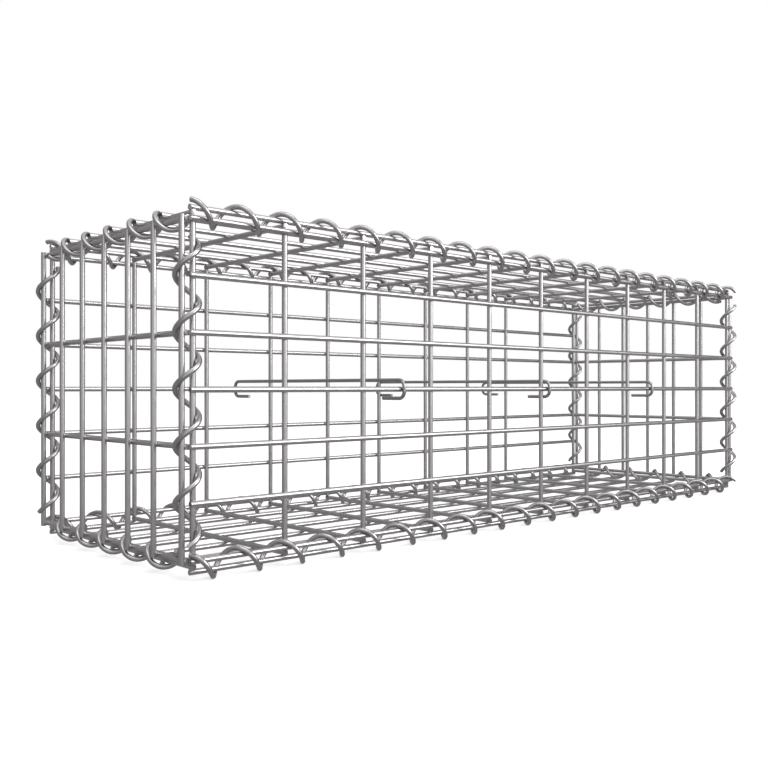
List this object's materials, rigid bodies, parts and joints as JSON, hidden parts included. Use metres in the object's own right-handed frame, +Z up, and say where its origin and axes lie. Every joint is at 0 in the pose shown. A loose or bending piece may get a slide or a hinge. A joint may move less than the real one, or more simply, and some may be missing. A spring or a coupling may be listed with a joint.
{
  "type": "welded mesh gabion basket",
  "caption": "Empty box-shaped welded wire mesh gabion basket, closed by wire spirals along its edges and tied from front to rear by hooked spacers, for filling with stone.",
  "frame": {"origin": "on the ground, under the middle of the basket", "axes": "+X along the basket, +Y from the front to the rear, +Z up"},
  "size_m": [1.039, 0.3319, 0.3366],
  "materials": {
    "mesh_wire": "hot-dip galvanised, drawn and welded wire",
    "spiral_wire": "galvanised, drawn and coiled wire",
    "spacer_wire": "galvanised, drawn and bent wire"
  },
  "bodies": {
    "root": {"base_panel": "mesh_wire", "front_panel": "mesh_wire", "left_end_panel": "mesh_wire", "lid_panel": "mesh_wire", "rear_panel": "mesh_wire", "right_end_panel": "mesh_wire", "spacer_left": "spacer_wire", "spacer_middle": "spacer_wire", "spacer_right": "spacer_wire", "spiral_bottom_front": "spiral_wire", "spiral_bottom_left": "spiral_wire", "spiral_bottom_rear": "spiral_wire", "spiral_bottom_right": "spiral_wire", "spiral_front_left": "spiral_wire", "spiral_front_right": "spiral_wire", "spiral_rear_left": "spiral_wire", "spiral_rear_right": "spiral_wire", "spiral_top_front": "spiral_wire", "spiral_top_left": "spiral_wire", "spiral_top_rear": "spiral_wire", "spiral_top_right": "spiral_wire"}
  },
  "joints": []
}
